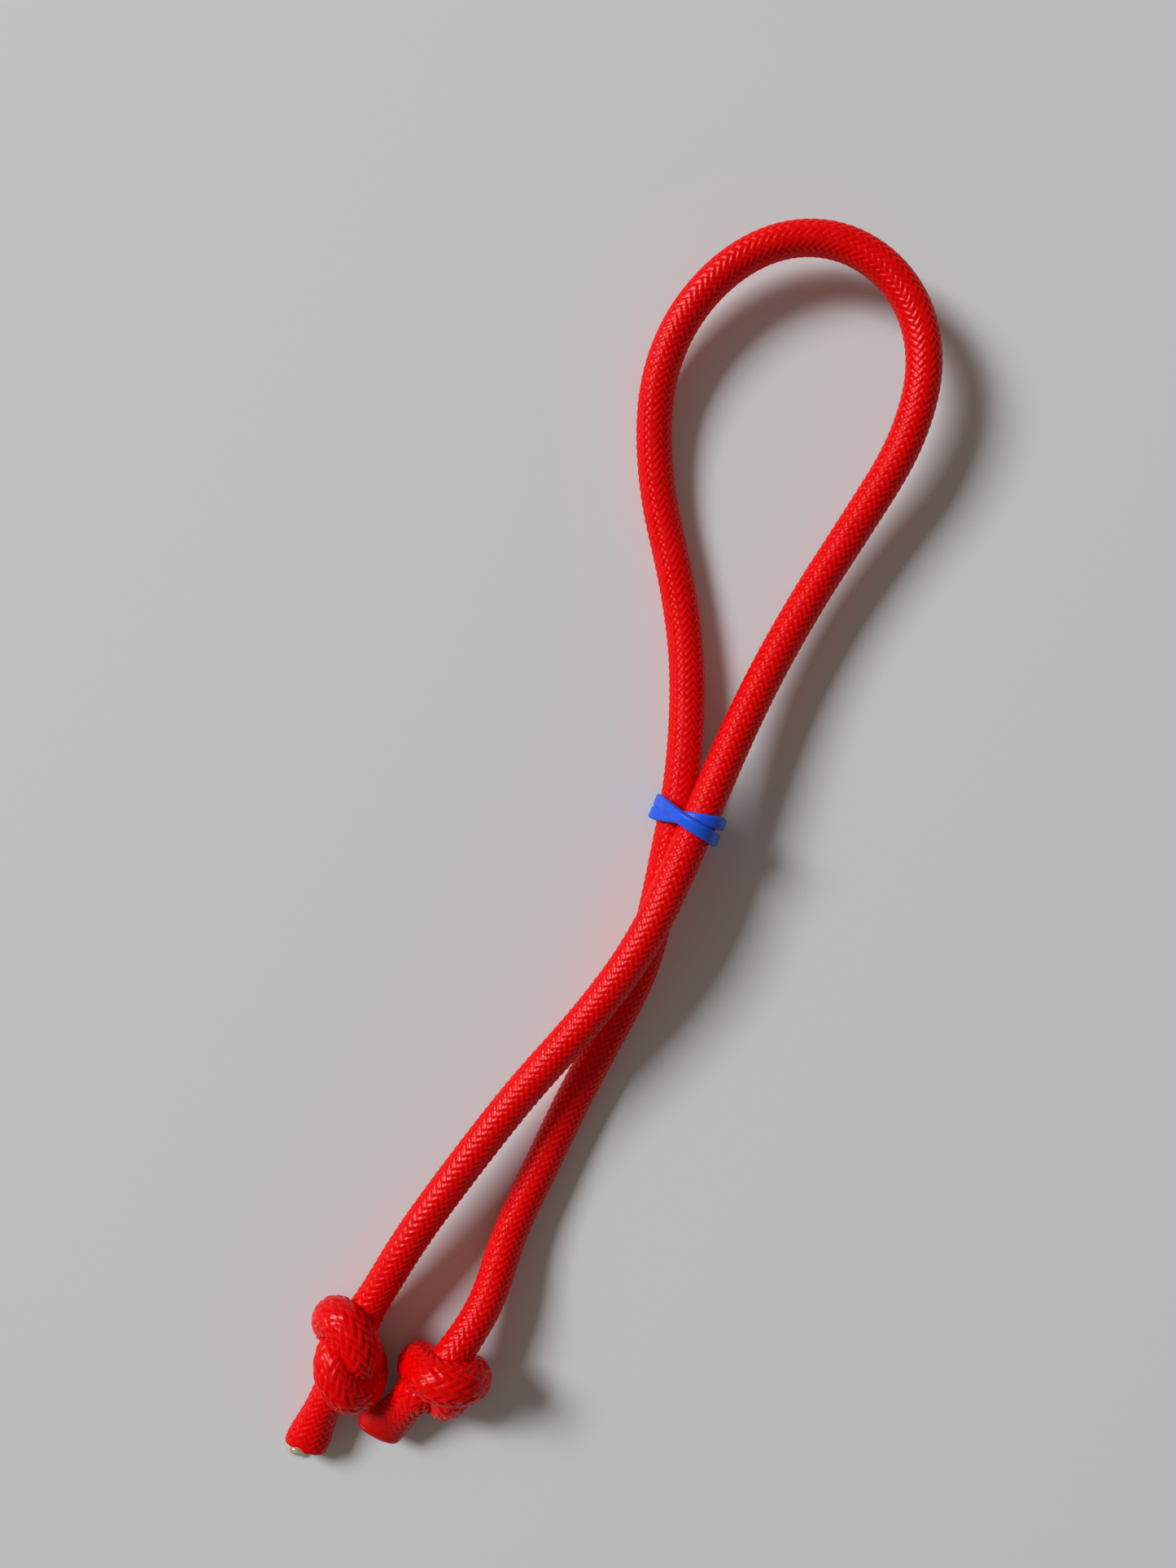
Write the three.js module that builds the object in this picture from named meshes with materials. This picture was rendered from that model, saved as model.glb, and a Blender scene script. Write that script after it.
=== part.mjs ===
// A short red kernmantle cord, doubled into a hand loop. Each end is stopped with an overhand
// knot and a heat-sealed tip, and a rubber band wound twice round both legs holds them together.
// Millimetres, +Z up, z = 0 is the surface the loop lies on, +Y runs from the knots to the loop end.
import * as THREE from 'three';

// ---- driving dimensions ----
const CORD_RADIUS = 2.0;
const SHEATH_BORE_RADIUS = 1.5;
const SHEATH_SIDES = 10;
const YARN_RADIUS = 0.38;
const YARN_RING_RADIUS = 0.88;
const YARN_SIDES = 5;
const YARNS_ROUND_CENTRE = 6;
const KNOT_SQUASH = 0.56;
const SQUASH_RAMP = 4;
const STATION_STEP = 6.5;
const KNOT_STATION_STEP = 1.7;
const TIP_GAP = 0.3;
const TIP_SIDES = 12;
const BAND_WIDTH = 1.7;
const BAND_THICKNESS = 0.8;
const BAND_CLEARANCE = 0.68;
const BAND_STEPS_PER_TURN = 28;
const BAND_Y = 8.0;
const BAND_FIT_Y = 7.2;
const BAND_TURN_OFFSET = 1.0;
const BAND_SWAP_RATE = 2.2;
const BAND_LIFT = 1.1;
const BAND_LIFT_FLAT = 0.85;
const BAND_LIFT_END = 1.5;

// ---- colours and finishes ----
const RED_NYLON = { color: 0xd5080c, roughness: 0.55, metalness: 0 };
const WHITE_NYLON = { color: 0xe9e6dc, roughness: 0.6, metalness: 0 };
const CLEAR_MELT = { color: 0xd9cfa8, roughness: 0.25, metalness: 0 };
const RED_MELT = { color: 0xa80509, roughness: 0.3, metalness: 0 };
const BLUE_RUBBER = { color: 0x2f55d8, roughness: 0.5, metalness: 0 };

// ---- the route of the cord's centre, from the left end to the right end ----
const LEFT_TAIL = [[-5.1, -76.9, 2.2], [-4.9, -70.8, 2.6]];
const LEGS_AND_LOOP = [
  [-4.2, -57.2, 4.2], [-2.9, -48.7, 5.6], [-0.5, -38.6, 6.2], [2.6, -27.6, 6.5], [5.7, -18.6, 7.0],
  [8, -10.1, 7.6], [8.9, -3.6, 7.9], [9.2, 2.9, 7.6], [9.4, 10.4, 6.6], [9.6, 18.4, 5.8],
  [10.2, 27.4, 5.0], [11.5, 37.4, 4.7], [13.3, 47.4, 5.1], [14.7, 57.4, 6.1], [13.5, 65.9, 6.9],
  [10, 71.5, 7.2], [5, 74.8, 7.1], [-1, 75.8, 6.7], [-7, 73.8, 6.0], [-11.6, 68.9, 5.3],
  [-14.3, 61.9, 4.5], [-14.5, 54.9, 3.5], [-12.6, 48.4, 2.6], [-9, 41.4, 2.0], [-4, 34.2, 1.95],
  [0.6, 26.4, 2.2], [3.9, 18.4, 3.0], [6.3, 10.4, 3.6], [7.8, 2.9, 3.7], [9, -3.6, 3.8],
  [9.9, -10.6, 3.3], [9.3, -18.6, 2.6], [8.5, -27.6, 2.0], [8, -36.6, 2.0], [7.5, -44.6, 2.5],
  [8.1, -53.2, 4.0],
];
const RIGHT_TAIL = [[3.4, -69.2, 2.8], [2.1, -71.9, 2.2]];
const REST_POINT = [-6.5, 37.8];

// An overhand knot's centre line in units of the squashed cord's diameter, from the leg to the
// tail: x across, y towards the leg, z up.
const OVERHAND_KNOT = [
  [-0.2, 1.0, -0.45], [-0.45, 0.15, 0.05], [-0.3, -0.55, 0.7], [0.55, -0.95, 0.8], [1.25, -0.8, 0.15],
  [1.05, -0.3, -0.65], [0.15, 0, -1.0], [-0.8, 0.3, -1.0], [-1.25, 0.8, -0.25], [-0.8, 0.95, 0.55],
  [0.05, 0.55, 0.8], [0.45, -0.15, 0.2], [0.35, -1.0, -0.35],
];
const LEFT_KNOT = {
  centre: [-4.5, -63.9, 4.7], headingDeg: -10, rollDeg: 15, unit: 2.8, stretch: [1, 1.18, 0.92],
};
const RIGHT_KNOT = {
  centre: [6.6, -62.7, 4.6], headingDeg: -16, rollDeg: 125, unit: 2.6, stretch: [1, 0.95, 0.98],
};

function knotPoints({ centre, headingDeg, rollDeg, unit, stretch }) {
  const roll = new THREE.Matrix4().makeRotationY(THREE.MathUtils.degToRad(rollDeg));
  const heading = new THREE.Matrix4().makeRotationZ(THREE.MathUtils.degToRad(headingDeg));
  return OVERHAND_KNOT.map(([x, y, z]) => new THREE.Vector3(x, y, z)
    .multiplyScalar(unit)
    .applyMatrix4(roll)
    .multiply(new THREE.Vector3(...stretch))
    .applyMatrix4(heading)
    .add(new THREE.Vector3(...centre)));
}

function vectors(points) {
  return points.map((point) => new THREE.Vector3(...point));
}

const sections = [
  vectors(LEFT_TAIL),
  knotPoints(LEFT_KNOT).reverse(),
  vectors(LEGS_AND_LOOP),
  knotPoints(RIGHT_KNOT),
  vectors(RIGHT_TAIL),
];
const routePoints = sections.flat();
const SUBDIVISIONS = 40;
const cordCurve = new THREE.CatmullRomCurve3(routePoints, false, 'centripetal');
cordCurve.arcLengthDivisions = (routePoints.length - 1) * SUBDIVISIONS;
const arcLengths = cordCurve.getLengths();
const cordLength = arcLengths[arcLengths.length - 1];

// Where each knot starts and ends, measured along the cord.
function spanOfSection(sectionIndex) {
  const first = sections.slice(0, sectionIndex).flat().length;
  const last = first + sections[sectionIndex].length - 1;
  return [arcLengths[first * SUBDIVISIONS], arcLengths[last * SUBDIVISIONS]];
}
const knotSpans = [spanOfSection(1), spanOfSection(3)];

// The cord is squeezed thinner where its turns press on each other in a knot.
function squashAt(arc) {
  const depth = Math.max(...knotSpans.map(([start, end]) => Math.min(arc - start, end - arc)));
  return THREE.MathUtils.lerp(1, KNOT_SQUASH, THREE.MathUtils.smoothstep(depth, -SQUASH_RAMP, 0));
}

// Cross-sections along the cord: close together in the knots and wider apart elsewhere.
function makeStations() {
  const arcs = [0];
  while (arcs[arcs.length - 1] < cordLength) {
    const arc = arcs[arcs.length - 1];
    const nearKnot = knotSpans.some(([start, end]) => arc > start - STATION_STEP && arc < end + SQUASH_RAMP);
    arcs.push(Math.min(cordLength, arc + (nearKnot ? KNOT_STATION_STEP : STATION_STEP)));
  }
  return arcs.map((arc) => ({
    centre: cordCurve.getPointAt(arc / cordLength),
    tangent: cordCurve.getTangentAt(arc / cordLength),
    squash: squashAt(arc),
  }));
}

// Give each station a pair of axes across the cord. They start level at the resting point, and
// are carried along the cord both ways without twisting.
function addFrames(stations) {
  const rest = new THREE.Vector2(...REST_POINT);
  const distances = stations.map(({ centre }) => rest.distanceTo(new THREE.Vector2(centre.x, centre.y)));
  const start = distances.indexOf(Math.min(...distances));
  const up = new THREE.Vector3(0, 0, 1);
  stations[start].side = new THREE.Vector3().crossVectors(stations[start].tangent, up).normalize();
  for (const direction of [1, -1]) {
    for (let i = start + direction; i >= 0 && i < stations.length; i += direction) {
      const turn = new THREE.Quaternion()
        .setFromUnitVectors(stations[i - direction].tangent, stations[i].tangent);
      stations[i].side = stations[i - direction].side.clone().applyQuaternion(turn);
    }
  }
  for (const station of stations) {
    station.rise = new THREE.Vector3().crossVectors(station.side, station.tangent).normalize();
  }
  return stations;
}

const stations = addFrames(makeStations());

// Bend a straight turned shape along the cord: its y counts stations, and x and z are carried on
// the station's own axes.
function bendAlongCord(geometry, offset = [0, 0]) {
  const position = geometry.getAttribute('position');
  for (let i = 0; i < position.count; i += 1) {
    const station = stations[Math.round(position.getY(i))];
    const across = (position.getX(i) + offset[0]) * station.squash;
    const above = (position.getZ(i) + offset[1]) * station.squash;
    const bent = station.centre.clone()
      .addScaledVector(station.side, across)
      .addScaledVector(station.rise, above);
    position.setXYZ(i, bent.x, bent.y, bent.z);
  }
  geometry.computeVertexNormals();
  return geometry;
}

// A turned shape whose outline follows the whole cord; every corner sits on a station.
function turnedAlongCord(radius, boreRadius, sides) {
  const last = stations.length - 1;
  const outer = stations.map((_, index) => new THREE.Vector2(radius, index));
  const profile = boreRadius > 0
    ? [...outer, ...outer.map((_, index) => new THREE.Vector2(boreRadius, last - index)), outer[0]]
    : [new THREE.Vector2(0, 0), ...outer, new THREE.Vector2(0, last)];
  // Half a step of turn puts a flat side, not a corner, underneath.
  return new THREE.LatheGeometry(profile, sides, Math.PI / sides, 2 * Math.PI);
}

function named(name, geometry, finish) {
  const mesh = new THREE.Mesh(geometry, new THREE.MeshStandardMaterial(finish));
  mesh.name = name;
  return mesh;
}

function makeSheath() {
  const tube = turnedAlongCord(CORD_RADIUS, SHEATH_BORE_RADIUS, SHEATH_SIDES);
  return named('cord_sheath', bendAlongCord(tube), RED_NYLON);
}

function makeCoreYarns() {
  const offsets = [[0, 0]];
  for (let i = 0; i < YARNS_ROUND_CENTRE; i += 1) {
    const angle = (2 * Math.PI * i) / YARNS_ROUND_CENTRE;
    offsets.push([YARN_RING_RADIUS * Math.cos(angle), YARN_RING_RADIUS * Math.sin(angle)]);
  }
  return offsets.map((offset, index) => {
    const yarn = turnedAlongCord(YARN_RADIUS, 0, YARN_SIDES);
    return named(`core_yarn_${index + 1}`, bendAlongCord(yarn, offset), WHITE_NYLON);
  });
}

// A heat-sealed tip: a bead turned about the cord's own end direction, just beyond the sheath.
function makeTip(name, profile, station, outwardSign, finish) {
  const outward = station.tangent.clone().multiplyScalar(outwardSign);
  const bead = new THREE.LatheGeometry(vectors2(profile), TIP_SIDES);
  const mesh = named(name, bead, finish);
  mesh.quaternion.setFromUnitVectors(new THREE.Vector3(0, 1, 0), outward);
  mesh.position.copy(station.centre).addScaledVector(outward, TIP_GAP);
  return mesh;
}

function vectors2(points) {
  return points.map((point) => new THREE.Vector2(...point));
}

// Radius and height of each tip's outline: a rounded bead of clear melt, and a flat red seal.
const CLEAR_BEAD = [[0, 0], [1.75, 0], [1.95, 0.4], [1.7, 1.0], [0.9, 1.5], [0, 1.6]];
const RED_SEAL = [[0, 0], [2.0, 0], [2.1, 0.35], [1.8, 0.75], [0, 0.95]];

// Where the cord crosses the band's plane, on the stretch between two heights of y.
function crossingsOfPlane(y) {
  const samples = cordCurve.getSpacedPoints(Math.round(cordLength * 4));
  return samples.filter((point, i) => i > 0 && (samples[i - 1].y - y) * (point.y - y) <= 0);
}

// The rubber band: a flat strip looped twice round both legs. Seen along the legs it is the tight
// outline of two circles. The turns lie side by side, and change sides on top, where the second
// turn rises over the first.
function makeBand() {
  const [upperLeg, lowerLeg] = crossingsOfPlane(BAND_FIT_Y);
  const lean = new THREE.Vector2(upperLeg.x - lowerLeg.x, upperLeg.z - lowerLeg.z).angle();
  const reach = CORD_RADIUS + BAND_CLEARANCE + BAND_THICKNESS / 2;
  const steps = 2 * BAND_STEPS_PER_TURN;
  const halfThick = BAND_THICKNESS / 2;
  const halfWide = BAND_WIDTH / 2;
  const section = [[halfThick, halfWide], [halfThick, -halfWide], [-halfThick, -halfWide],
    [-halfThick, halfWide], [halfThick, halfWide]];
  const ring = new THREE.LatheGeometry(vectors2(section.map(([r, y]) => [r + CORD_RADIUS, y])), steps);
  const position = ring.getAttribute('position');
  for (let i = 0; i < position.count; i += 1) {
    const [outward, sideways] = section[i % section.length];
    const step = Math.floor(i / section.length) % steps;
    const turn = (4 * Math.PI * step) / steps;
    const angle = turn - Math.PI / 2;
    const leg = Math.cos(angle - lean) > 0 ? upperLeg : lowerLeg;
    const sideOfPair = THREE.MathUtils.clamp(BAND_SWAP_RATE * Math.cos(turn / 2), -1, 1);
    const fromTop = Math.abs(turn - 3 * Math.PI);
    const lift = BAND_LIFT * (1 - THREE.MathUtils.smoothstep(fromTop, BAND_LIFT_FLAT, BAND_LIFT_END));
    const radius = reach + outward + lift;
    position.setXYZ(
      i,
      leg.x + Math.cos(angle) * radius,
      BAND_Y + BAND_TURN_OFFSET * sideOfPair + sideways,
      leg.z + Math.sin(angle) * radius,
    );
  }
  ring.computeVertexNormals();
  return named('rubber_band', ring, BLUE_RUBBER);
}

const loopCord = new THREE.Group();
loopCord.add(makeSheath());
loopCord.add(...makeCoreYarns());
loopCord.add(makeTip('left_tip_clear_bead', CLEAR_BEAD, stations[0], -1, CLEAR_MELT));
loopCord.add(makeTip('right_tip_red_seal', RED_SEAL, stations[stations.length - 1], 1, RED_MELT));
loopCord.add(makeBand());

export default loopCord;
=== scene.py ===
# A short red braided cord, doubled into a hand loop, with an overhand stopper knot and a melted tip
# at each end, and a blue rubber band wound twice round both legs. Metres, +Z up, the loop end at +Y.
import math

import bpy
import numpy as np
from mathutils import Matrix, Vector


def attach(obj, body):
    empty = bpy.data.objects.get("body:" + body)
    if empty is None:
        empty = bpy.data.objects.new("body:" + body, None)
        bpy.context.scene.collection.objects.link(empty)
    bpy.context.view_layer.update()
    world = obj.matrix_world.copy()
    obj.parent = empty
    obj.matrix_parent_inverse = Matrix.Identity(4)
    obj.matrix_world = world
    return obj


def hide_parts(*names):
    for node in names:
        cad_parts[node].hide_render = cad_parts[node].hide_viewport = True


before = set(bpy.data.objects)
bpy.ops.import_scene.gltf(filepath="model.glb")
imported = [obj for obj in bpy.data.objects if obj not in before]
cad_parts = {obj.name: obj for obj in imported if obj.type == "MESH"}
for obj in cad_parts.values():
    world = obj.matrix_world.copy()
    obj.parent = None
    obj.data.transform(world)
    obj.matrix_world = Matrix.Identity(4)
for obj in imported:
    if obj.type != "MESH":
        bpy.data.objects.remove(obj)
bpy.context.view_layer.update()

MM = 0.001

# ---- the view ----
CAMERA_POINT = (-0.0040, 0.0074)
CAMERA_HEIGHT = 0.170
CAMERA_TURN_DEG = 22.4
FRAME_HEIGHT = 0.1865
SENSOR = 36.0
FLOOR_HALF = 2.0

# ---- the light: one large soft lamp, and a weak even sky ----
KEY_DIRECTION = Vector((-0.986, 0.135, 0.78))
KEY_DISTANCE = 3.0
KEY_SIZE = 0.93
KEY_WATTS = 78.0
KEY_COLOUR = (0.95, 1.0, 1.05)
SKY_STRENGTH = 0.15
SKY_COLOUR = (1.08, 0.98, 0.88)

# ---- the cord ----
CORD_RADIUS = 2.0 * MM
KNOT_RADIUS = 2.08 * MM
KNOT_RAMP = 5.0 * MM
KNOT_RELIEF = 1.45
CARRIERS = 18
YARN_STEPS = 3
BRAID_PITCH = 16.8 * MM
BRAID_WAVE = 0.09 * MM
BRAID_ROUND = 0.19 * MM
CONTACT_GAP = 0.03 * MM
CONTACT_SOFTNESS = 0.10 * MM
MAX_BULGE = 1.20
LEG_SMOOTHING = 2.2 * MM
KNOT_SMOOTHING = 0.35 * MM
LINE_STEP = 0.2 * MM
REST_POINT = (-0.0065, 0.0378)
CONTACT_ANGLES = 48
CONTACT_NEIGHBOURS = 1.0 * MM
CONTACT_SEARCH = 10.0 * MM
CONTACT_ROUNDS = 3
FLOOR_GAP = 0.02 * MM
BRAID_TOP = 0.03 * MM
STITCH_HASH = (12.9898, 78.233, 37.719, 43758.5453)
LEFT_FADE = 0.9 * MM
RIGHT_FADE = 5.0 * MM
SMOOTH_MELT = 3.4 * MM
FLARE_LENGTH = 5.5 * MM
LEFT_FLARE = dict(wider=0.26, thinner=0.18, slant=0.10)
RIGHT_FLARE = dict(wider=0.34, thinner=0.26, slant=0.36)

# ---- the rubber band ----
BAND_Y = 8.0 * MM
BAND_WIDTH = 1.5 * MM
BAND_THICKNESS = 0.9 * MM
BAND_SLACK = 0.02 * MM
BAND_CORNER = 0.26 * MM
CORNER_POINTS = 4
BAND_WOBBLE = 0.01 * MM
WOBBLE_WAVES = 8
BAND_SIDE = 0.88 * MM
BAND_SPREAD = 0.12
BAND_STEPS = 260
BAND_TILT_DEG = 20
BAND_CROSS_START_DEG = 12
BAND_CROSS_END_DEG = 178
# where the crossing turn climbs onto the other one and comes down, as shares of the crossing
BAND_CLIMB = (0.02, 0.34)
BAND_DESCENT = (0.66, 0.98)

# ---- the melted tips ----
MELT_SIDES = 48
MELT_FLOOR_GAP = 0.03 * MM
MELT_WAVES = 4
MELT_TWIST = 2.1
BEAD_LUMPS = 0.035
SEAL_LUMPS = 0.02
# each outline's corners, as the radius and the height out of the cord's end
CLEAR_BEAD = [
    (1.2 * MM, -0.5 * MM), (1.75 * MM, -0.1 * MM), (1.9 * MM, 0.45 * MM), (1.7 * MM, 0.95 * MM),
    (1.25 * MM, 1.3 * MM), (0.6 * MM, 1.48 * MM),
]
RED_SEAL = [
    (1.3 * MM, -0.3 * MM), (1.84 * MM, -0.1 * MM), (1.90 * MM, 0.15 * MM), (1.78 * MM, 0.42 * MM),
    (1.45 * MM, 0.64 * MM), (0.9 * MM, 0.76 * MM), (0.3 * MM, 0.80 * MM),
]
BEAD_SHIFT = (0.35 * MM, -0.1 * MM)

# ---- the materials ----
NYLON_IOR = 1.53
# painted shade: the colour multiplied into the red nylon along the grooves between yarns
GROOVE_PAINTED_SHADE = (0.70, 0.3, 0.3, 1)

# ---- the route of the cord's centre, from the left end to the right end ----
LEFT_TAIL = [(-0.0051, -0.0769, 0.0022), (-0.0049, -0.0708, 0.0026)]
LEGS_AND_LOOP = [
    (-0.0042, -0.0572, 0.0042), (-0.0029, -0.0487, 0.0056), (-0.0005, -0.0386, 0.0062),
    (0.0026, -0.0276, 0.0065), (0.0057, -0.0186, 0.0070), (0.0080, -0.0101, 0.0076),
    (0.0089, -0.0036, 0.0079), (0.0092, 0.0029, 0.0076), (0.0094, 0.0104, 0.0066),
    (0.0096, 0.0184, 0.0058), (0.0102, 0.0274, 0.0050), (0.0115, 0.0374, 0.0047),
    (0.0133, 0.0474, 0.0051), (0.0147, 0.0574, 0.0061), (0.0135, 0.0659, 0.0069),
    (0.0100, 0.0715, 0.0072), (0.0050, 0.0748, 0.0071), (-0.0010, 0.0758, 0.0067),
    (-0.0070, 0.0738, 0.0060), (-0.0116, 0.0689, 0.0053), (-0.0143, 0.0619, 0.0045),
    (-0.0145, 0.0549, 0.0035), (-0.0126, 0.0484, 0.0026), (-0.0090, 0.0414, 0.0020),
    (-0.0040, 0.0342, 0.00195), (0.0006, 0.0264, 0.0022), (0.0039, 0.0184, 0.0030),
    (0.0063, 0.0104, 0.0036), (0.0078, 0.0029, 0.0037), (0.0090, -0.0036, 0.0038),
    (0.0099, -0.0106, 0.0033), (0.0093, -0.0186, 0.0026), (0.0085, -0.0276, 0.0020),
    (0.0080, -0.0366, 0.0020), (0.0075, -0.0446, 0.0025), (0.0081, -0.0532, 0.0040),
]
RIGHT_TAIL = [(0.0034, -0.0692, 0.0028), (0.0021, -0.0719, 0.0022)]

# An overhand knot's centre line, from the leg to the tail: x across, y towards the leg, z up. Its
# unit is about the width of the squashed cord.
OVERHAND_KNOT = [
    (-0.2, 1.0, -0.45), (-0.45, 0.15, 0.05), (-0.3, -0.55, 0.7), (0.55, -0.95, 0.8),
    (1.25, -0.8, 0.15), (1.05, -0.3, -0.65), (0.15, 0, -1.0), (-0.8, 0.3, -1.0),
    (-1.25, 0.8, -0.25), (-0.8, 0.95, 0.55), (0.05, 0.55, 0.8), (0.45, -0.15, 0.2),
    (0.35, -1.0, -0.35),
]
LEFT_KNOT = dict(
    centre=(-0.0045, -0.0639, 0.0047), heading=-10, roll=15, unit=0.0028, stretch=(1, 1.18, 0.92),
)
RIGHT_KNOT = dict(
    centre=(0.0066, -0.0627, 0.0046), heading=-16, roll=125, unit=0.0026, stretch=(1, 0.95, 0.98),
)


def turn_about_y(degrees):
    c, s = math.cos(math.radians(degrees)), math.sin(math.radians(degrees))
    return np.array([[c, 0, s], [0, 1, 0], [-s, 0, c]])


def turn_about_z(degrees):
    c, s = math.cos(math.radians(degrees)), math.sin(math.radians(degrees))
    return np.array([[c, -s, 0], [s, c, 0], [0, 0, 1]])


def knot_points(centre, heading, roll, unit, stretch):
    rolled = np.array(OVERHAND_KNOT) * unit @ turn_about_y(roll).T
    return rolled * stretch @ turn_about_z(heading).T + centre


def smoothstep(x, low, high):
    t = np.clip((x - low) / (high - low), 0, 1)
    return t * t * (3 - 2 * t)


def new_piece(name, points, faces, materials):
    """An object with a smooth-shaded mesh."""
    mesh = bpy.data.meshes.new(name)
    mesh.from_pydata(points, [], faces)
    for material in materials:
        mesh.materials.append(material)
    mesh.polygons.foreach_set("use_smooth", np.ones(len(faces), bool))
    mesh.update()
    piece = bpy.data.objects.new(name, mesh)
    bpy.context.scene.collection.objects.link(piece)
    return piece


# ---------------------------------------------------------------- camera, floor and light


def make_camera():
    data = bpy.data.cameras.new("camera")
    data.sensor_width = SENSOR
    data.lens = SENSOR * CAMERA_HEIGHT / FRAME_HEIGHT
    data.clip_start = 0.005
    camera = bpy.data.objects.new("camera", data)
    camera.location = (*CAMERA_POINT, CAMERA_HEIGHT)
    camera.rotation_euler = (0, 0, math.radians(CAMERA_TURN_DEG))
    bpy.context.scene.collection.objects.link(camera)
    bpy.context.scene.camera = camera


def make_floor():
    half = FLOOR_HALF
    corners = [(-half, -half, 0), (half, -half, 0), (half, half, 0), (-half, half, 0)]
    material, shader = new_material("floor_pale")
    shader.inputs["Base Color"].default_value = (0.74, 0.74, 0.73, 1)
    shader.inputs["Roughness"].default_value = 0.9
    new_piece("floor", corners, [(0, 1, 2, 3)], [material])


def make_lights():
    data = bpy.data.lights.new("window", "AREA")
    data.shape = "SQUARE"
    data.size = KEY_SIZE
    data.energy = KEY_WATTS
    data.color = KEY_COLOUR
    lamp = bpy.data.objects.new("window", data)
    lamp.location = KEY_DIRECTION.normalized() * KEY_DISTANCE
    lamp.rotation_euler = KEY_DIRECTION.to_track_quat("Z", "Y").to_euler()
    lamp.visible_camera = False
    bpy.context.scene.collection.objects.link(lamp)
    world = bpy.data.worlds.new("sky")
    world.use_nodes = True
    sky = world.node_tree.nodes["Background"]
    sky.inputs["Color"].default_value = (*SKY_COLOUR, 1)
    sky.inputs["Strength"].default_value = SKY_STRENGTH
    bpy.context.scene.world = world
    bpy.context.scene.view_settings.view_transform = "Standard"


# ---------------------------------------------------------------- the cord's centre line


def catmull_rom(points, step):
    """The centripetal curve through the points, with samples about step apart."""
    ends = np.vstack([2 * points[0] - points[1], points, 2 * points[-1] - points[-2]])
    line = []
    for i in range(len(points) - 1):
        p0, p1, p2, p3 = ends[i:i + 4]
        d01, d12, d23 = (math.sqrt(np.linalg.norm(b - a)) for a, b in ((p0, p1), (p1, p2), (p2, p3)))
        slope1 = ((p1 - p0) / d01 - (p2 - p0) / (d01 + d12) + (p2 - p1) / d12) * d12
        slope2 = ((p2 - p1) / d12 - (p3 - p1) / (d12 + d23) + (p3 - p2) / d23) * d12
        square = 3 * (p2 - p1) - 2 * slope1 - slope2
        cube = 2 * (p1 - p2) + slope1 + slope2
        count = max(2, math.ceil(np.linalg.norm(p2 - p1) / step))
        t = np.arange(count)[:, None] / count
        line.append(p1 + slope1 * t + square * t ** 2 + cube * t ** 3)
    return np.vstack([*line, points[-1:]])


def arcs_of(line):
    return np.concatenate([[0], np.cumsum(np.linalg.norm(np.diff(line, axis=0), axis=1))])


def resampled(line, count):
    arcs = arcs_of(line)
    at = np.linspace(0, arcs[-1], count)
    return np.stack([np.interp(at, arcs, line[:, k]) for k in range(3)], axis=1)


def blurred(line, width, step):
    """The line with its wiggles shorter than width taken out, and its ends kept."""
    reach = math.ceil(3 * width / step)
    weights = np.exp(-0.5 * (np.arange(-reach, reach + 1) * step / width) ** 2)
    weights /= weights.sum()
    padded = np.pad(line, ((reach, reach), (0, 0)), mode="reflect", reflect_type="odd")
    return np.stack([np.convolve(padded[:, k], weights, mode="valid") for k in range(3)], axis=1)


def in_knot(line, knots):
    """From 0 on the open cord to 1 in a knot, for each point of the line."""
    arcs = arcs_of(line)
    depth = np.full(len(line), -1.0)
    for knot in knots:
        first, last = (arcs[np.linalg.norm(line - end, axis=1).argmin()] for end in (knot[0], knot[-1]))
        first, last = min(first, last), max(first, last)
        depth = np.maximum(depth, np.minimum(arcs - first, last - arcs))
    return smoothstep(depth, -KNOT_RAMP, 0)


def carried_sides(line, tangents):
    """A direction across the cord at each point, carried along it without twisting from where it is
    level at the resting point."""
    start = np.linalg.norm(line[:, :2] - REST_POINT, axis=1).argmin()
    sides = np.zeros_like(line)
    level = np.cross(tangents[start], (0, 0, 1))
    sides[start] = level / np.linalg.norm(level)
    for way, stop in ((1, len(line)), (-1, -1)):
        for i in range(start + way, stop, way):
            side = sides[i - way] - tangents[i] * (sides[i - way] @ tangents[i])
            sides[i] = side / np.linalg.norm(side)
    return sides


class CordLine:
    """The cord's centre line, with axes across it and a measure of how deep in a knot it is."""

    def __init__(self):
        left, right = knot_points(**LEFT_KNOT)[::-1], knot_points(**RIGHT_KNOT)
        route = np.vstack([LEFT_TAIL, left, LEGS_AND_LOOP, right, RIGHT_TAIL])
        rough = catmull_rom(route, LINE_STEP / 4)
        rough = resampled(rough, round(arcs_of(rough)[-1] / LINE_STEP) + 1)
        share = in_knot(rough, (left, right))[:, None]
        smooth = blurred(rough, LEG_SMOOTHING, LINE_STEP) * (1 - share)
        smooth += blurred(rough, KNOT_SMOOTHING, LINE_STEP) * share
        self.centres = blurred(smooth, KNOT_SMOOTHING, LINE_STEP)
        self.arcs = arcs_of(self.centres)
        self.length = self.arcs[-1]
        self.knotted = in_knot(self.centres, (left, right))
        tangents = np.gradient(self.centres, axis=0)
        self.tangents = tangents / np.linalg.norm(tangents, axis=1)[:, None]
        self.sides = carried_sides(self.centres, self.tangents)
        self.rises = np.cross(self.sides, self.tangents)

    def at(self, arcs, values):
        """Values known at each point of the line, at other places along it."""
        return np.stack([np.interp(arcs, self.arcs, values[:, k]) for k in range(values.shape[1])], axis=1)


# ---------------------------------------------------------------- how the cord is squashed


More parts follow.
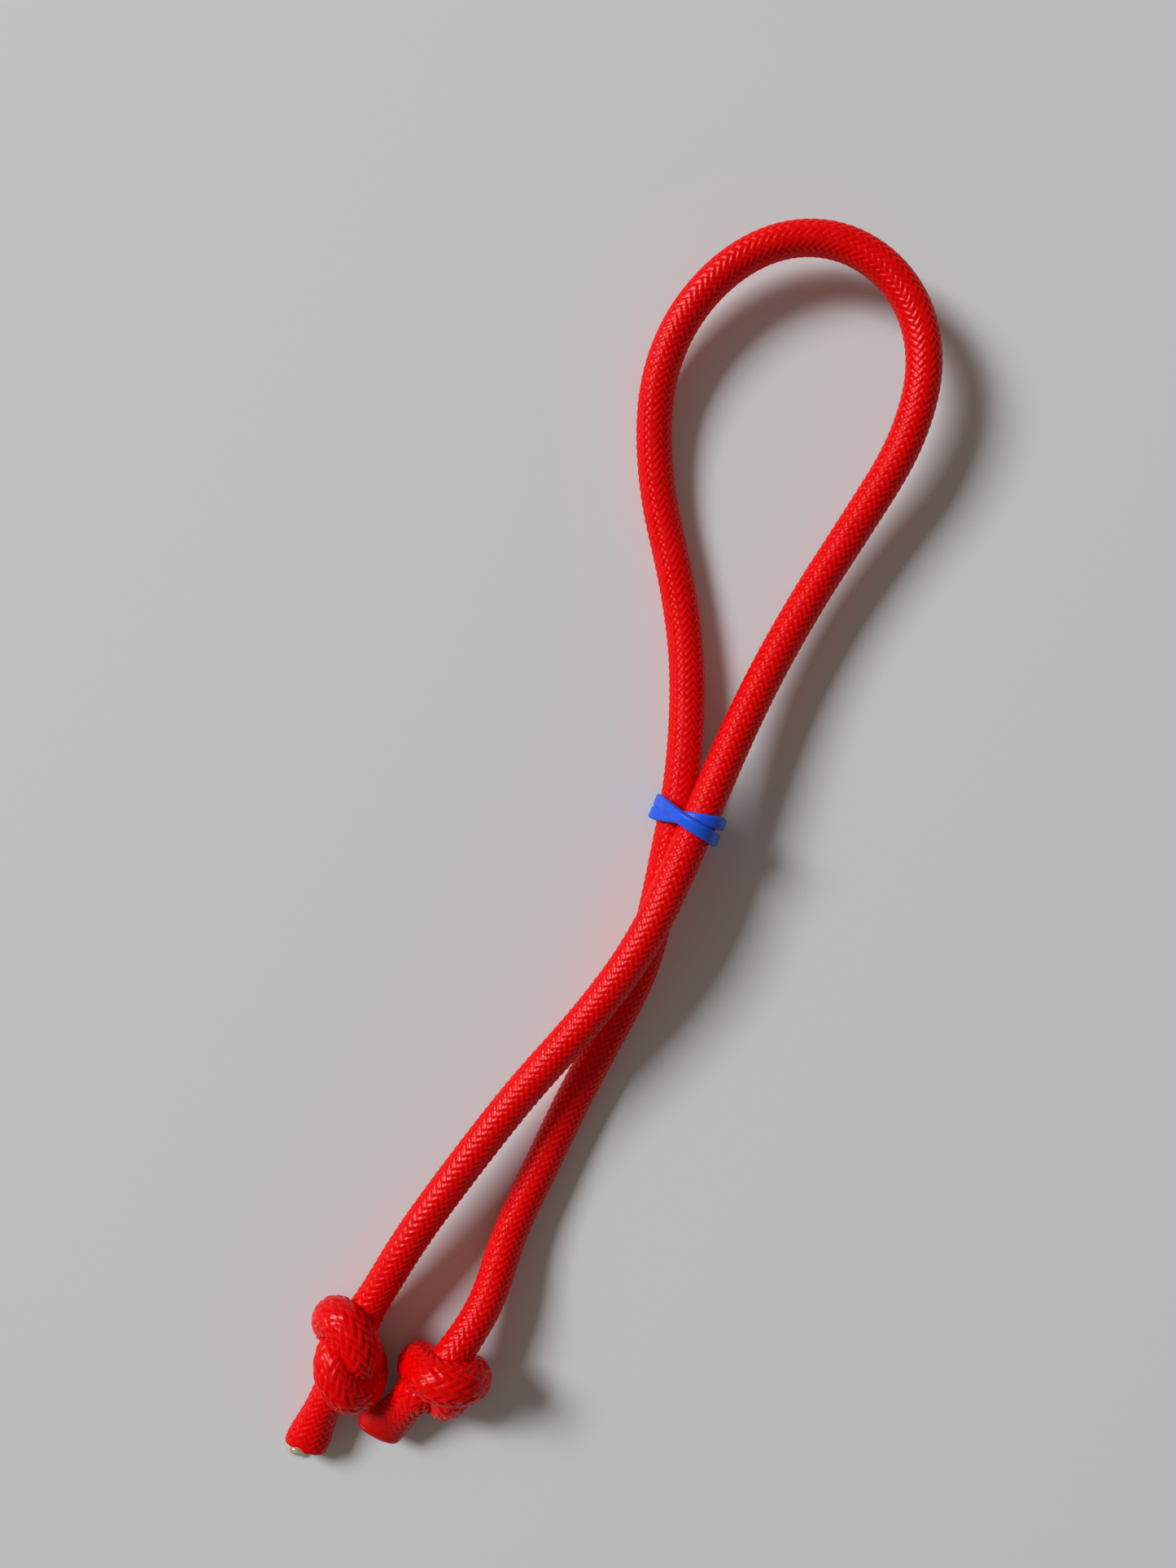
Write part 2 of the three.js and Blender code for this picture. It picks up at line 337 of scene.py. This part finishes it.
def contact_limits(line, angles):
    """How far the cord can reach from its centre, in each direction across it, before it is nearer to
    another stretch of itself or meets the floor."""
    limits = np.zeros((len(line.centres), len(angles)))
    across = np.stack([np.cos(angles), np.sin(angles)])
    for i, centre in enumerate(line.centres):
        out = across[0][:, None] * line.sides[i] + across[1][:, None] * line.rises[i]
        others = line.centres[np.abs(line.arcs - line.arcs[i]) > CONTACT_NEIGHBOURS]
        away = others - centre
        square = (away ** 2).sum(1)
        near = square < CONTACT_SEARCH ** 2
        toward = away[near] @ out.T
        with np.errstate(divide="ignore"):
            reach = np.where(toward > 0, square[near][:, None] / (2 * np.maximum(toward, 1e-9)), 1.0)
        limits[i] = reach.min(axis=0)
        down = np.minimum(out[:, 2], -1e-6)
        limits[i] = np.minimum(limits[i], centre[2] / -down)
    return limits - CONTACT_GAP


def squashed_radii(line, angles):
    """The cord's radius in each direction across it: flat where it presses on itself or the floor, and
    bulging elsewhere so that its section keeps its area."""
    plain = CORD_RADIUS + (KNOT_RADIUS - CORD_RADIUS) * line.knotted[:, None]
    limits = contact_limits(line, angles)
    bulge = np.ones((len(limits), 1))
    for _ in range(CONTACT_ROUNDS):
        radii = soft_minimum(plain * bulge, limits)
        area = (radii ** 2).mean(axis=1, keepdims=True)
        bulge = np.clip(bulge * np.sqrt(plain ** 2 / area), 1, MAX_BULGE)
    return radii


def soft_minimum(a, b):
    gap = np.clip((a - b) / CONTACT_SOFTNESS, -30, 30)
    return a - CONTACT_SOFTNESS * np.log1p(np.exp(gap))


# ---------------------------------------------------------------- the braid


def float_wave(strand, along):
    """1 where a yarn is highest on top of the others, -1 where it is deepest under them."""
    return np.cos(np.pi * ((strand + along) % 4 - 1) / 2)


def braid_height(p, q):
    """The braid's height at whole steps p and q across its two families of yarns. Each yarn goes over
    two of the other family and under two, one place further on than its neighbour does."""
    a, b = p / YARN_STEPS, q / YARN_STEPS
    heights = []
    for across, along, turn in ((p, b, 1), (q, a, -1)):
        waves = [turn * float_wave((across + nudge) // YARN_STEPS, along) for nudge in (0, -1)]
        inside = across % YARN_STEPS != 0
        wave = np.where(inside, waves[0], (waves[0] + waves[1]) / 2)
        middle = np.abs(2 * ((across % YARN_STEPS) / YARN_STEPS) - 1)
        heights.append(BRAID_WAVE * wave - BRAID_ROUND * middle ** 2)
    return np.maximum(*heights)


def braid_faces(half, rows):
    """Diamond faces that lie along the yarns, on a grid whose odd rows are shifted by one column. Each
    row holds half of the columns. Returns the faces' corners in the grid, and every corner's column
    and row before the columns close into a ring."""
    row, place = np.meshgrid(np.arange(1, rows - 1), np.arange(half), indexing="ij")
    row, place = row.reshape(-1), place.reshape(-1)
    odd = row % 2
    middle = 2 * place + 1 - odd
    faces = np.stack([
        (row - 1) * half + place,
        row * half + (place - odd) % half,
        (row + 1) * half + place,
        row * half + (place + 1 - odd) % half,
    ], axis=1)
    columns = np.stack([middle, middle - 1, middle, middle + 1], axis=1)
    corner_rows = np.stack([row - 1, row, row + 1, row], axis=1)
    return faces, columns, corner_rows


def yarn_of_faces(columns, rows):
    """For each face: the yarn coordinates of its corners, first across the yarn that is on top there and
    then along it, and a number from 0 to 1 that every stitch of the braid has for itself."""
    p, q = (columns + rows) / 2, (columns - rows) / 2
    a, b = p / YARN_STEPS, q / YARN_STEPS
    i, j = np.floor(a.mean(axis=1)).astype(int), np.floor(b.mean(axis=1)).astype(int)
    phase = (i + j) % 4
    first_family = phase < 2
    across = np.where(first_family[:, None], a, b)
    along = np.where(first_family[:, None], b, a)
    yarn = np.where(first_family, i, j) % CARRIERS
    place = np.where(first_family, i - (j - phase), (i - (phase - 2)) - j)
    yarn_key, place_key, family_key, spread = STITCH_HASH
    tone = np.sin(yarn * yarn_key + place * place_key + first_family * family_key) * spread
    return across, along, tone - np.floor(tone)


class EndCap:
    """One end of the cord, closed by rings of corners that narrow to a middle point."""

    # how far in, as a share of the radius, and how far out past the end, in cord radii
    STEPS = ((0.97, 0.07), (0.90, 0.13), (0.76, 0.13), (0.55, 0.08), (0.28, 0.05))
    MIDDLE_OUT = 0.05
    LUMPS = 0.012

    def __init__(self, corners, first, ring, outward, flip, noise):
        """corners: the end ring's points. first: the index of the next new point."""
        centre = corners.mean(axis=0)
        count = len(corners)
        self.points = []
        self.faces = []
        before = list(ring)
        for share, out in self.STEPS:
            lump = noise.normal(0, self.LUMPS, (count, 1))
            lump = (lump + np.roll(lump, 1, axis=0) + np.roll(lump, -1, axis=0)) * CORD_RADIUS
            points = centre + (corners - centre) * share + outward * (out * CORD_RADIUS + lump)
            now = [first + len(self.points) + k for k in range(count)]
            self.points += list(points)
            for k in range(count):
                after = (k + 1) % count
                face = [before[k], before[after], now[after], now[k]]
                self.faces.append(face[::-1] if flip else face)
            before = now
        middle = first + len(self.points)
        self.points.append(centre + outward * self.MIDDLE_OUT * CORD_RADIUS)
        for k in range(count):
            face = [before[k], before[(k + 1) % count], middle]
            self.faces.append(face[::-1] if flip else face)


def end_shares(line, arcs):
    """How near each place is to the left and the right cut end: 0 on the open cord, 1 at the end."""
    left = 1 - smoothstep(arcs, 0, LEFT_FADE)
    right = smoothstep(arcs, line.length - RIGHT_FADE, line.length)
    return left, right


def flared(offsets, tangents, share, wider, thinner, slant):
    """Both tails are pressed flat and cut at a slant: they widen level and thin upright, and one side
    reaches further along than the other."""
    level = np.cross(tangents, (0, 0, 1))
    level /= np.linalg.norm(level, axis=1)[:, None]
    upright = np.cross(level, tangents)
    wide = (offsets * level).sum(axis=1)[:, None]
    high = (offsets * upright).sum(axis=1)[:, None]
    flat = level * wide * wider - upright * high * thinner
    return offsets + (flat + tangents * wide * slant) * share[:, None]


class RegularGrid:
    """Values on the line's points and on even angles round it, read in between."""

    def __init__(self, arcs, values):
        self.arcs = arcs
        self.values = values

    def at(self, arcs, angles):
        count = self.values.shape[1]
        row = np.clip(np.interp(arcs, self.arcs, np.arange(len(self.arcs))), 0, len(self.arcs) - 1.001)
        column = angles / (2 * math.pi) * count
        r0, c0 = np.floor(row).astype(int), np.floor(column).astype(int)
        rs, cs = row - r0, column - c0
        left, right = c0 % count, (c0 + 1) % count
        low = self.values[r0, left] * (1 - cs) + self.values[r0, right] * cs
        high = self.values[r0 + 1, left] * (1 - cs) + self.values[r0 + 1, right] * cs
        return low * (1 - rs) + high * rs


def woven_corners(line, row, column):
    """Where the corners of the braid's mesh lie, and the cord's direction there. They are on the
    squashed cord, follow the braid's relief, and flatten towards both cut ends."""
    half = CARRIERS * YARN_STEPS
    arcs = row * line.length / row.max()
    angles = column * math.pi / half
    coarse = np.arange(CONTACT_ANGLES) * 2 * math.pi / CONTACT_ANGLES
    radii = RegularGrid(line.arcs, squashed_radii(line, coarse)).at(arcs, angles)
    relief = braid_height((column + row) // 2, (column - row) // 2) + BRAID_TOP
    relief *= 1 + (KNOT_RELIEF - 1) * np.interp(arcs, line.arcs, line.knotted)
    radii += relief * (1 - np.maximum(*end_shares(line, arcs)))

    centres, tangents = line.at(arcs, line.centres), line.at(arcs, line.tangents)
    tangents /= np.linalg.norm(tangents, axis=1)[:, None]
    sides = line.at(arcs, line.sides)
    sides -= tangents * (sides * tangents).sum(axis=1)[:, None]
    sides /= np.linalg.norm(sides, axis=1)[:, None]
    rises = np.cross(sides, tangents)
    offsets = radii[:, None] * (np.cos(angles)[:, None] * sides + np.sin(angles)[:, None] * rises)
    near_left = 1 - smoothstep(arcs, 0, FLARE_LENGTH)
    near_right = smoothstep(arcs, line.length - FLARE_LENGTH, line.length)
    offsets = flared(offsets, tangents, near_left, **LEFT_FLARE)
    points = centres + flared(offsets, tangents, near_right, **RIGHT_FLARE)
    points[:, 2] = np.maximum(points[:, 2], FLOOR_GAP)
    return points, tangents


def mark_stitches(mesh, across, along, tone, melted):
    """What the cord's materials need: each woven corner's place on its yarn, a tone for each stitch,
    and which woven faces are melted. The faces that close the ends come last, and are all melted."""
    woven, count = len(tone), len(mesh.polygons)
    uv = np.zeros((len(mesh.loops), 2), np.float32)
    uv[:4 * woven, 0] = across.reshape(-1)
    uv[:4 * woven, 1] = along.reshape(-1)
    mesh.uv_layers.new(name="yarn").data.foreach_set("uv", uv.reshape(-1))
    tones = np.full(count, 0.5, np.float32)
    tones[:woven] = tone
    mesh.attributes.new("stitch", "FLOAT", "FACE").data.foreach_set("value", tones)
    slots = np.ones(count, np.int32)
    slots[:woven] = melted
    mesh.polygons.foreach_set("material_index", slots)
    mesh.update()


def make_cord(line, materials):
    """The braided cord as one closed mesh, every stitch of its braid in the mesh itself."""
    half = CARRIERS * YARN_STEPS
    rows = round(line.length / (BRAID_PITCH / (2 * half))) + 1
    row, place = np.meshgrid(np.arange(rows), np.arange(half), indexing="ij")
    row, place = row.reshape(-1), place.reshape(-1)
    points, tangents = woven_corners(line, row, 2 * place + row % 2)
    faces, columns, corner_rows = braid_faces(half, rows)

    last = (rows - 1) * half
    odd = (rows - 1) % 2
    every = faces.tolist()
    for k in range(half):
        after = (k + 1) % half
        every.append([k, half + k, after])
        every.append([last + k, last + after, last - half + (k + odd) % half])
    noise = np.random.default_rng(7)
    start = EndCap(points[:half], len(points), range(half), -tangents[0], False, noise)
    end_first = len(points) + len(start.points)
    end = EndCap(points[last:], end_first, range(last, last + half), tangents[-1], True, noise)
    every += start.faces + end.faces
    corners = np.vstack([points, start.points, end.points]).tolist()
    cord = new_piece("braided_cord", corners, every, materials)
    face_arcs = corner_rows.mean(axis=1) * line.length / (rows - 1)
    melted = face_arcs > line.length - SMOOTH_MELT
    mark_stitches(cord.data, *yarn_of_faces(columns, corner_rows), melted)
    return cord


# ---------------------------------------------------------------- the rubber band


def closed_tube(name, sections, uv_name, material):
    """A mesh through sections, each a ring of points, that comes back to its first section."""
    count, around = len(sections), len(sections[0])
    faces, uvs = [], []
    for i in range(count):
        for k in range(around):
            after, on = (k + 1) % around, (i + 1) % count
            faces.append((i * around + k, i * around + after, on * around + after, on * around + k))
            uvs += [(k, i), (k + 1, i), (k + 1, i + 1), (k, i + 1)]
    piece = new_piece(name, np.vstack(sections).tolist(), faces, [material])
    uv = np.array(uvs, np.float32) / around
    piece.data.uv_layers.new(name=uv_name).data.foreach_set("uv", uv.reshape(-1))
    return piece


def strip_section():
    """The outline of a cut rubber strip: flat faces with small rounded corners, and three more points
    along its outer face."""
    points = []
    corner = BAND_CORNER
    for across, out, start in ((1, 1, 0), (-1, 1, 90), (-1, -1, 180), (1, -1, 270)):
        middle = np.array((across * (BAND_WIDTH / 2 - corner), out * (BAND_THICKNESS / 2 - corner)))
        for turn in np.radians(np.linspace(start, start + 90, CORNER_POINTS)):
            points.append(middle + corner * np.array((math.cos(turn), math.sin(turn))))
    first, edge = points[CORNER_POINTS - 1], points[CORNER_POINTS]
    face = [first + (edge - first) * share for share in (0.25, 0.5, 0.75)]
    return np.array(points[:CORNER_POINTS] + face + points[CORNER_POINTS:])


def legs_at_band(line):
    """Where the cord's centre crosses the band's plane: first the upper leg and then the lower one."""
    y = line.centres[:, 1] - BAND_Y
    return [line.centres[i] for i in np.nonzero(y[:-1] * y[1:] <= 0)[0]]


class BandOutline:
    """One turn of the band, seen along the legs: round the upper leg, straight across to the lower
    one, round that and straight back."""

    def __init__(self, upper, lower):
        self.upper = upper
        self.lower = lower
        self.reach = CORD_RADIUS + BAND_SLACK + BAND_THICKNESS / 2
        self.span = math.hypot(upper[0] - lower[0], upper[2] - lower[2])
        self.lean = math.atan2(upper[2] - lower[2], upper[0] - lower[0])
        self.arc = math.pi * self.reach
        self.length = 2 * (self.arc + self.span)

    def at(self, place):
        """The angle at which the band faces out, and the point from which it is one reach away."""
        first, second = self.lean - math.pi / 2, self.lean + math.pi / 2
        arc, span = self.arc, self.span
        if place < arc:
            return first + place / self.reach, self.upper
        if place < arc + span:
            return second, self.upper + (self.lower - self.upper) * (place - arc) / span
        if place < 2 * arc + span:
            return second + (place - arc - span) / self.reach, self.lower
        return first, self.lower + (self.upper - self.lower) * (place - 2 * arc - span) / span

    def crossing(self):
        """The places where the second turn starts to cross over the first and where it ends."""
        begin = self.reach * (math.radians(BAND_CROSS_START_DEG) - (self.lean - math.pi / 2))
        along_lower = self.reach * (math.radians(BAND_CROSS_END_DEG) - (self.lean + math.pi / 2))
        return begin, self.arc + self.span + along_lower


def make_band(line, material):
    """One closed strip wound twice round both legs. On top the second turn crosses over the first,
    tilted, and the turns change sides."""
    outline = BandOutline(*legs_at_band(line))
    begin, end = outline.crossing()
    section = strip_section()
    wobble = np.random.default_rng(3).normal(0, 1, WOBBLE_WAVES)
    steps = 2 * BAND_STEPS
    sections = []
    for step in range(steps):
        run = step * 2 * outline.length / steps
        turn, place = divmod(run, outline.length)
        over = turn == 1
        angle, centre = outline.at(place)
        share = (place - begin) / (end - begin)
        spread = BAND_SIDE * (1 + BAND_SPREAD * math.cos(angle))
        side = (1 - 2 * smoothstep(share, 0, 1)) * (-1 if over else 1) * spread
        phase = math.pi * run / outline.length
        side += BAND_WOBBLE * sum(w * math.sin((k + 1) * phase) for k, w in enumerate(wobble))
        hump = smoothstep(share, *BAND_CLIMB) * (1 - smoothstep(share, *BAND_DESCENT)) if over else 0
        lift = hump * (BAND_THICKNESS + BAND_SLACK)
        tilt = hump * math.radians(BAND_TILT_DEG)
        across = section[:, 0] * math.cos(tilt) - section[:, 1] * math.sin(tilt)
        out = section[:, 0] * math.sin(tilt) + section[:, 1] * math.cos(tilt) + outline.reach + lift
        x = centre[0] + math.cos(angle) * out
        z = centre[2] + math.sin(angle) * out
        sections.append(np.stack([x, BAND_Y + side + across, z], axis=1))
    return closed_tube("rubber_band_strip", sections, "strip", material)


# ---------------------------------------------------------------- the melted tips


def end_axes(line, end):
    """The middle, outward direction, level and upright axes at one cut end of the cord."""
    outward = line.tangents[end] * (1 if end else -1)
    level = np.cross(outward, (0, 0, 1))
    level /= np.linalg.norm(level)
    return line.centres[end], outward, level, np.cross(level, outward)


def melt_bump(waves, angle, height):
    """How far the melt's surface swells at one place, as a sum of slow waves round it and along it."""
    along = height / MM * MELT_TWIST
    return sum(math.sin((k + 2) * angle + a + along + b) for k, (a, b) in enumerate(waves))


def melt_faces(rings):
    """Faces between rings of points, and fans that close both ends on two middle points after them."""
    faces = []
    for ring in range(rings - 1):
        for k in range(MELT_SIDES):
            after = (k + 1) % MELT_SIDES
            near, far = ring * MELT_SIDES, (ring + 1) * MELT_SIDES
            faces.append((near + k, near + after, far + after, far + k))
    last = (rings - 1) * MELT_SIDES
    middle = rings * MELT_SIDES
    for k in range(MELT_SIDES):
        after = (k + 1) % MELT_SIDES
        faces.append((middle, after, k))
        faces.append((last + k, last + after, middle + 1))
    return faces


def make_melt(name, line, end, profile, material, seed, lumps, wide, high, slant=0, shift=(0, 0)):
    """A lump of melt on a cut end: a turned profile of (radius, height out) pairs, stretched level and
    upright, with an uneven surface."""
    centre, outward, level, upright = end_axes(line, end)
    waves = np.random.default_rng(seed).uniform(0, 2 * math.pi, (MELT_WAVES, 2))
    points = []
    for radius, height in profile:
        for angle in np.arange(MELT_SIDES) * 2 * math.pi / MELT_SIDES:
            bump = melt_bump(waves, angle, height)
            r = radius * (1 + lumps * bump)
            sideways = r * wide * math.cos(angle)
            point = centre + outward * (height * (1 + 0.5 * lumps * bump) + slant * sideways)
            point = point + level * (sideways + shift[0])
            points.append(point + upright * (r * high * math.sin(angle) + shift[1]))
    for height in (profile[0][1], profile[-1][1]):
        points.append(centre + outward * height + level * shift[0] + upright * shift[1])
    points = [(x, y, max(z, MELT_FLOOR_GAP)) for x, y, z in points]
    return new_piece(name, points, melt_faces(len(profile)), [material])


# ---------------------------------------------------------------- materials


def new_material(name):
    material = bpy.data.materials.new(name)
    material.use_nodes = True
    return material, material.node_tree.nodes["Principled BSDF"]


class Nodes:
    """Adds nodes to a material and links them."""

    def __init__(self, material, shader):
        self.tree = material.node_tree
        self.shader = shader

    def add(self, kind, **settings):
        """A node of this kind. A setting is one of its inputs, as a value or as a link from another
        node's output, or one of its properties."""
        node = self.tree.nodes.new("ShaderNode" + kind)
        for key, value in settings.items():
            if key in node.inputs:
                self.put(node.inputs[key], value)
            else:
                setattr(node, key, value)
        return node

    def put(self, target, value):
        if isinstance(value, bpy.types.NodeSocket):
            self.tree.links.new(value, target)
        else:
            target.default_value = value

    def math(self, operation, *values):
        node = self.add("Math", operation=operation)
        for target, value in zip(node.inputs, values):
            self.put(target, value)
        return node.outputs[0]

    def stretched(self, uv_map, scale):
        """The coordinates of a UV map, scaled across and along."""
        uv = self.add("UVMap", uv_map=uv_map).outputs["UV"]
        return self.add("Mapping", Vector=uv, Scale=(*scale, 1)).outputs["Vector"]

    def noise(self, vector, scale, detail, roughness):
        node = self.add("TexNoise", Vector=vector, Scale=scale, Detail=detail, Roughness=roughness)
        return node.outputs["Fac"]

    def ramp(self, factor, low, high):
        """From one colour at 0 to the other at 1."""
        node = self.add("ValToRGB", Fac=factor)
        node.color_ramp.elements[0].color = (*low, 1)
        node.color_ramp.elements[1].color = (*high, 1)
        return node.outputs["Color"]

    def bump(self, height, strength, distance):
        node = self.add("Bump", Height=height, Strength=strength, Distance=distance)
        self.put(self.shader.inputs["Normal"], node.outputs["Normal"])

    def surface(self, settings):
        """Puts values or links into the shader's inputs, by their names."""
        for name, value in settings.items():
            self.put(self.shader.inputs[name], value)


def yarn_edges(nodes, yarn):
    """From 0 on the middle of each yarn to 1 along its edges, where it dips between its neighbours."""
    across = nodes.add("SeparateXYZ", Vector=yarn).outputs["X"]
    off_middle = nodes.math("SUBTRACT", nodes.math("FRACT", across), 0.5)
    edge = nodes.add("MapRange", interpolation_type="SMOOTHSTEP", Value=nodes.math("ABSOLUTE", off_middle))
    edge.inputs["From Min"].default_value = 0.28
    edge.inputs["From Max"].default_value = 0.5
    return edge.outputs["Result"]


def red_nylon():
    """Braided filament yarn: fine lines along each yarn, stitches that differ a little, and painted shade
    along the grooves between the yarns.
    """
    material, shader = new_material("red_nylon")
    nodes = Nodes(material, shader)
    stitch = nodes.add("Attribute", attribute_name="stitch").outputs["Fac"]
    filaments = nodes.noise(nodes.stretched("yarn", (11, 1.1)), 1.0, 2.0, 0.6)
    blend = nodes.math("MULTIPLY_ADD", stitch, 0.55, nodes.math("MULTIPLY", filaments, 0.45))
    colour = nodes.ramp(blend, (0.84, 0.0003, 0.0006), (1.0, 0.0008, 0.0016))
    edges = yarn_edges(nodes, nodes.add("UVMap", uv_map="yarn").outputs["UV"])
    # Painted shade: the colour is darkened along each yarn's edges, in the grooves between the yarns.
    shaded = nodes.add("MixRGB", blend_type="MULTIPLY", Fac=edges, Color1=colour, Color2=GROOVE_PAINTED_SHADE)
    rough = nodes.add("MapRange", Value=stitch)
    rough.inputs["To Min"].default_value = 0.22
    rough.inputs["To Max"].default_value = 0.34
    nodes.bump(filaments, strength=0.35, distance=0.02 * MM)
    nodes.surface({
        "Base Color": shaded.outputs["Color"],
        "Roughness": rough.outputs["Result"],
        "IOR": NYLON_IOR,
        "Specular IOR Level": 0.14,
    })
    return material


def red_melt():
    """Melted sheath nylon: smooth, uneven and a darker red."""
    material, shader = new_material("red_melt")
    nodes = Nodes(material, shader)
    lumps = nodes.noise(nodes.add("TexCoord").outputs["Object"], 900, 3.0, 0.55)
    nodes.bump(lumps, strength=0.5, distance=0.08 * MM)
    nodes.surface({
        "Base Color": nodes.ramp(lumps, (0.46, 0.0004, 0.0008), (0.74, 0.0010, 0.0016)),
        "Roughness": 0.40,
        "IOR": NYLON_IOR,
        "Specular IOR Level": 0.2,
    })
    return material


def clear_melt():
    """Melted and set core nylon: cloudy, glassy and a little yellow."""
    material, shader = new_material("clear_melt")
    nodes = Nodes(material, shader)
    lumps = nodes.noise(nodes.add("TexCoord").outputs["Object"], 1400, 3.0, 0.55)
    nodes.bump(lumps, strength=0.6, distance=0.10 * MM)
    nodes.surface({
        "Base Color": nodes.ramp(lumps, (0.54, 0.43, 0.19), (0.86, 0.76, 0.50)),
        "Roughness": 0.14,
        "IOR": NYLON_IOR,
        "Transmission Weight": 0.6,
    })
    return material


def blue_rubber():
    """Cut rubber strip: satin, with fine lines along it and a slightly mottled face."""
    material, shader = new_material("blue_rubber")
    nodes = Nodes(material, shader)
    streaks = nodes.noise(nodes.stretched("strip", (16, 0.7)), 1.0, 3.0, 0.6)
    nodes.bump(streaks, strength=0.5, distance=0.03 * MM)
    nodes.surface({
        "Base Color": nodes.ramp(streaks, (0.008, 0.075, 0.64), (0.020, 0.135, 0.90)),
        "Roughness": 0.42,
        "Specular IOR Level": 0.3,
    })
    return material


def white_yarn():
    """Core yarn: white nylon with the slanting lines of its twist."""
    material, shader = new_material("white_yarn")
    nodes = Nodes(material, shader)
    place = nodes.add("TexCoord").outputs["Object"]
    wave = nodes.add("TexWave", Vector=place, Scale=700.0, Distortion=1.5, Detail=1.0)
    wave.bands_direction = "DIAGONAL"
    twist = wave.outputs["Fac"]
    nodes.bump(twist, strength=0.5, distance=0.05 * MM)
    nodes.surface({
        "Base Color": nodes.ramp(twist, (0.62, 0.60, 0.54), (0.86, 0.84, 0.78)),
        "Roughness": 0.55,
    })
    return material


# ---------------------------------------------------------------- the pieces


make_camera()
make_lights()
make_floor()

line = CordLine()
nylon, melt = red_nylon(), red_melt()
cord = make_cord(line, (nylon, melt))
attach(cord, "cord")
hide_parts("cord_sheath")

bead = make_melt(
    "clear_bead", line, 0, CLEAR_BEAD, clear_melt(),
    seed=11, lumps=BEAD_LUMPS, wide=1.0, high=0.95, shift=BEAD_SHIFT,
)
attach(bead, "cord")
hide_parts("left_tip_clear_bead")
seal = make_melt(
    "red_seal", line, -1, RED_SEAL, melt, seed=5, lumps=SEAL_LUMPS,
    wide=1 + RIGHT_FLARE["wider"], high=1 - RIGHT_FLARE["thinner"], slant=RIGHT_FLARE["slant"],
)
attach(seal, "cord")
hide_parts("right_tip_red_seal")

band = make_band(line, blue_rubber())
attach(band, "band")
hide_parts("rubber_band")

core = white_yarn()
for name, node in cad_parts.items():
    if name.startswith("core_yarn"):
        node.data.materials.clear()
        node.data.materials.append(core)
